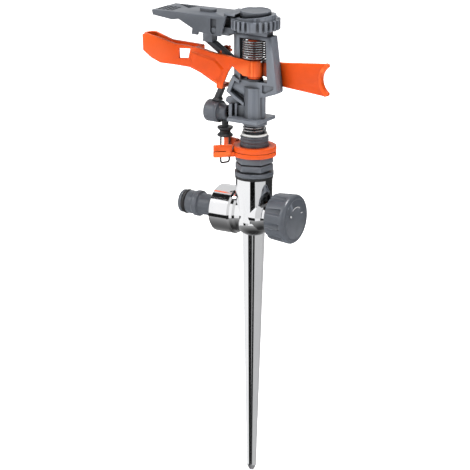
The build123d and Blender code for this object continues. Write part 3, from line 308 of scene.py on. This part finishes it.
def varied_roughness(tree, principled, coordinates, scale, low, high):
    """Roughness that drifts between two values, as handling and moulding leave it."""
    noise = add(tree, "ShaderNodeTexNoise", Scale=scale, Detail=4.0)
    span = tree.nodes.new("ShaderNodeMapRange")
    span.inputs["To Min"].default_value = low
    span.inputs["To Max"].default_value = high
    tree.links.new(coordinates.outputs["Object"], noise.inputs["Vector"])
    tree.links.new(noise.outputs["Fac"], span.inputs["Value"])
    tree.links.new(span.outputs["Result"], principled.inputs["Roughness"])


def painted_crevice_shade(tree, colour, reach, darkest):
    """Darkens a colour output by ambient occlusion in grooves and inner corners: painted shade."""
    occlusion = add(tree, "ShaderNodeAmbientOcclusion", Distance=reach)
    occlusion.samples = 8
    shade = tree.nodes.new("ShaderNodeMapRange")
    shade.inputs["From Min"].default_value = 0.28
    shade.inputs["From Max"].default_value = 0.8
    shade.inputs["To Min"].default_value = darkest
    multiply = tree.nodes.new("ShaderNodeMix")
    multiply.data_type = "RGBA"
    multiply.blend_type = "MULTIPLY"
    multiply.inputs["Factor"].default_value = 1.0
    tree.links.new(occlusion.outputs["AO"], shade.inputs["Value"])
    tree.links.new(colour, multiply.inputs["A"])
    tree.links.new(shade.outputs["Result"], multiply.inputs["B"])
    return multiply.outputs["Result"]


def edge_lift(tree, principled, ramp, lighter, amount):
    """Mixes a lighter tone into the colour where edges stand out, darkens it with painted shade in grooves and
    inner corners, and makes it the base colour.
    """
    geometry = tree.nodes.new("ShaderNodeNewGeometry")
    edge = tree.nodes.new("ShaderNodeMapRange")
    edge.inputs["From Min"].default_value = 0.52
    edge.inputs["From Max"].default_value = 0.62
    edge.inputs["To Max"].default_value = amount
    mix = tree.nodes.new("ShaderNodeMix")
    mix.data_type = "RGBA"
    mix.inputs["B"].default_value = (*lighter, 1)
    tree.links.new(geometry.outputs["Pointiness"], edge.inputs["Value"])
    tree.links.new(edge.outputs["Result"], mix.inputs["Factor"])
    tree.links.new(ramp.outputs["Color"], mix.inputs["A"])
    # painted shade: the colour is darkened by ambient occlusion in grooves and inner corners
    shaded = painted_crevice_shade(tree, mix.outputs["Result"], 0.008, 0.12)
    tree.links.new(shaded, principled.inputs["Base Color"])


def moulded_plastic(name, colour, spread, roughness, specular=0.5):
    """Injection-moulded plastic: spark-eroded grain, faint mottling, paler worn edges, and painted shade in
    grooves and inner corners.
    """
    material, tree, principled = shader(name)
    coordinates = grain_bump(tree, principled, [(900.0, 0.10, 0.0001), (5200.0, 0.16, 0.00004)])
    low = [c * (1 - spread) for c in colour]
    high = [min(1.0, c * (1 + spread)) for c in colour]
    ramp = mottled(tree, coordinates, 140.0, low, high)
    edge_lift(tree, principled, ramp, [min(1.0, c * 2.0 + 0.03) for c in colour], 0.8)
    varied_roughness(tree, principled, coordinates, 85.0, roughness - 0.06, roughness + 0.07)
    principled.inputs["Specular IOR Level"].default_value = specular
    return material


def polished_chrome():
    """Plated casting: a mirror with slight waviness and a trace of handling marks."""
    material, tree, principled = shader("chrome")
    coordinates = grain_bump(tree, principled, [(26.0, 0.05, 0.001), (700.0, 0.02, 0.0001)])
    ramp = mottled(tree, coordinates, 30.0, (0.84, 0.85, 0.87), (0.93, 0.93, 0.94))
    tree.links.new(ramp.outputs["Color"], principled.inputs["Base Color"])
    principled.inputs["Metallic"].default_value = 1.0
    varied_roughness(tree, principled, coordinates, 120.0, 0.03, 0.11)
    return material


def drawn_metal(name, low, high):
    """Spring wire and pins: drawn metal with fine streaks and dark flecks."""
    material, tree, principled = shader(name)
    coordinates = grain_bump(tree, principled, [(1500.0, 0.12, 0.00005), (6000.0, 0.1, 0.00003)])
    ramp = mottled(tree, coordinates, 900.0, low, high)
    tree.links.new(ramp.outputs["Color"], principled.inputs["Base Color"])
    principled.inputs["Metallic"].default_value = 1.0
    varied_roughness(tree, principled, coordinates, 600.0, 0.16, 0.34)
    return material


def turned_brass():
    """Machined brass with turning marks."""
    material, tree, principled = shader("brass")
    coordinates = grain_bump(tree, principled, [(2500.0, 0.15, 0.00005)])
    ramp = mottled(tree, coordinates, 300.0, (0.62, 0.40, 0.14), (0.80, 0.57, 0.24))
    tree.links.new(ramp.outputs["Color"], principled.inputs["Base Color"])
    principled.inputs["Metallic"].default_value = 1.0
    varied_roughness(tree, principled, coordinates, 200.0, 0.2, 0.38)
    return material


def black_rubber():
    """Sealing rubber: near black, soft sheen, fine pores."""
    material, tree, principled = shader("black_rubber")
    coordinates = grain_bump(tree, principled, [(1800.0, 0.25, 0.00008)])
    ramp = mottled(tree, coordinates, 400.0, (0.008, 0.008, 0.009), (0.022, 0.022, 0.024))
    tree.links.new(ramp.outputs["Color"], principled.inputs["Base Color"])
    varied_roughness(tree, principled, coordinates, 300.0, 0.42, 0.62)
    return material


MATERIALS = {
    "chrome": polished_chrome(),
    "steel": drawn_metal("steel", (0.30, 0.30, 0.31), (0.62, 0.62, 0.63)),
    "dark_steel": drawn_metal("dark_steel", (0.07, 0.068, 0.065), (0.20, 0.195, 0.19)),
    "brass": turned_brass(),
    "black_rubber": black_rubber(),
    "grey_plastic": moulded_plastic("grey_plastic", (0.076, 0.085, 0.101), 0.08, 0.32, 0.6),
    "dark_plastic": moulded_plastic("dark_plastic", (0.022, 0.024, 0.028), 0.12, 0.40),
    "orange_plastic": moulded_plastic("orange_plastic", (0.72, 0.072, 0.002), 0.05, 0.34, 0.25),
    "white_plastic": moulded_plastic("white_plastic", (0.72, 0.72, 0.70), 0.04, 0.40),
}

SLOT_OF = {part["node"]: part["material_slot"] for part in frame["record"]["subparts"]}
# mirrors and round wires and rings, which a bevel would spoil
NO_BEVEL = {
    "spike_body", "arm_spring", "bearing_spring", "toggle_spring", "trip_wire", "nipple_o_ring", "stem_o_ring",
}
SOFT_EDGE = 0.0003
SAME_POINT = 0.000002


def finish_cad_node(name, obj):
    """Gives a CAD node its material and softens its hard edges."""
    obj.data.materials.clear()
    obj.data.materials.append(MATERIALS[SLOT_OF[name]])
    for polygon in obj.data.polygons:
        polygon.use_smooth = True
    if name in NO_BEVEL:
        return
    weld = obj.modifiers.new("weld", "WELD")
    weld.merge_threshold = SAME_POINT
    bevel = obj.modifiers.new("soft_edges", "BEVEL")
    bevel.width = SOFT_EDGE
    bevel.segments = 2
    bevel.limit_method = "ANGLE"
    bevel.angle_limit = radians(32)
    bevel.harden_normals = True
    bevel.use_clamp_overlap = True


for node_name, node_object in nodes.items():
    finish_cad_node(node_name, node_object)

# ---- Small pieces that the CAD model leaves out ----


def mm(*point):
    """A point given in millimetres."""
    return Vector(point) * MM


def riding_piece(name, body, slot, build):
    """A small piece with a slot's finish that rides one body."""
    obj = mesh_object(name, build)
    obj.data.materials.append(MATERIALS[slot])
    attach(obj, body)


def ridge(name, body, path, outward):
    """A moulding seam: a low ridge along a path on a face, with its foot just inside the face."""
    width, height, foot = 0.34 * MM, 0.13 * MM, -0.05 * MM
    crest = 0.4  # the crest's share of the width
    steps, steps_to_rise = 24, 4
    start, end = mm(*path[0]), mm(*path[1])
    normal = Vector(outward).normalized()
    side = (end - start).cross(normal).normalized() * width / 2

    def build(bm):
        rows = []
        for step in range(steps + 1):
            place = start.lerp(end, step / steps)
            rise = height * min(1.0, min(step, steps - step) / steps_to_rise)
            rows.append([
                bm.verts.new(place - side + normal * foot),
                bm.verts.new(place - side * crest + normal * (foot + rise)),
                bm.verts.new(place + side * crest + normal * (foot + rise)),
                bm.verts.new(place + side + normal * foot),
            ])
        for row, following in zip(rows, rows[1:]):
            for k in range(3):
                bm.faces.new([row[k], row[k + 1], following[k + 1], following[k]])
            bm.faces.new([row[3], row[0], following[0], following[3]])
        bm.faces.new(rows[0])
        bm.faces.new(rows[-1][::-1])
        bmesh.ops.recalc_face_normals(bm, faces=bm.faces)

    riding_piece(name, body, "grey_plastic", build)


def knob_print(bm):
    """Pale print on the knob's raised flow marks: an arc with a plus and a minus, each a thin plate."""
    low, high = 32.25, 32.36
    axis_z = 179.5
    arc_outer, arc_inner = 8.4, 8.1
    sign_y, sign_z, sign_half, stroke_half = 6.9, 3.2, 1.0, 0.15

    def plate(outline):
        base = [bm.verts.new(mm(low, y, axis_z + z)) for y, z in outline]
        face = [bm.verts.new(mm(high, y, axis_z + z)) for y, z in outline]
        bm.faces.new(base[::-1])
        bm.faces.new(face)
        for k in range(len(outline)):
            following = (k + 1) % len(outline)
            bm.faces.new([base[k], base[following], face[following], face[k]])

    half_span, steps = radians(33), 20
    arc = [half_span * (2 * step / steps - 1) for step in range(steps + 1)]
    outer = [(arc_outer * sin(turn), arc_outer * cos(turn)) for turn in arc]
    inner = [(arc_inner * sin(turn), arc_inner * cos(turn)) for turn in reversed(arc)]
    plate(outer + inner)
    for y in (-sign_y, sign_y):
        plate([
            (y - sign_half, sign_z - stroke_half), (y + sign_half, sign_z - stroke_half),
            (y + sign_half, sign_z + stroke_half), (y - sign_half, sign_z + stroke_half),
        ])
    for foot in (sign_z + stroke_half + 0.05, sign_z - sign_half):
        top = foot + 0.8
        plate([
            (-sign_y - stroke_half, foot), (-sign_y + stroke_half, foot),
            (-sign_y + stroke_half, top), (-sign_y - stroke_half, top),
        ])
    bmesh.ops.recalc_face_normals(bm, faces=bm.faces)


riding_piece("knob_print", "valve", "white_plastic", knob_print)
ridge("riser_seam_front", "head", ((0, -7.15, 244.8), (0, -7.15, 258.0)), (0, -1, 0))
ridge("riser_seam_back", "head", ((0, 7.15, 244.8), (0, 7.15, 258.0)), (0, 1, 0))
ridge("post_seam_right", "head", ((18.55, 0, 265.5), (14.25, 0, 297.5)), (1, 0, 0.135))
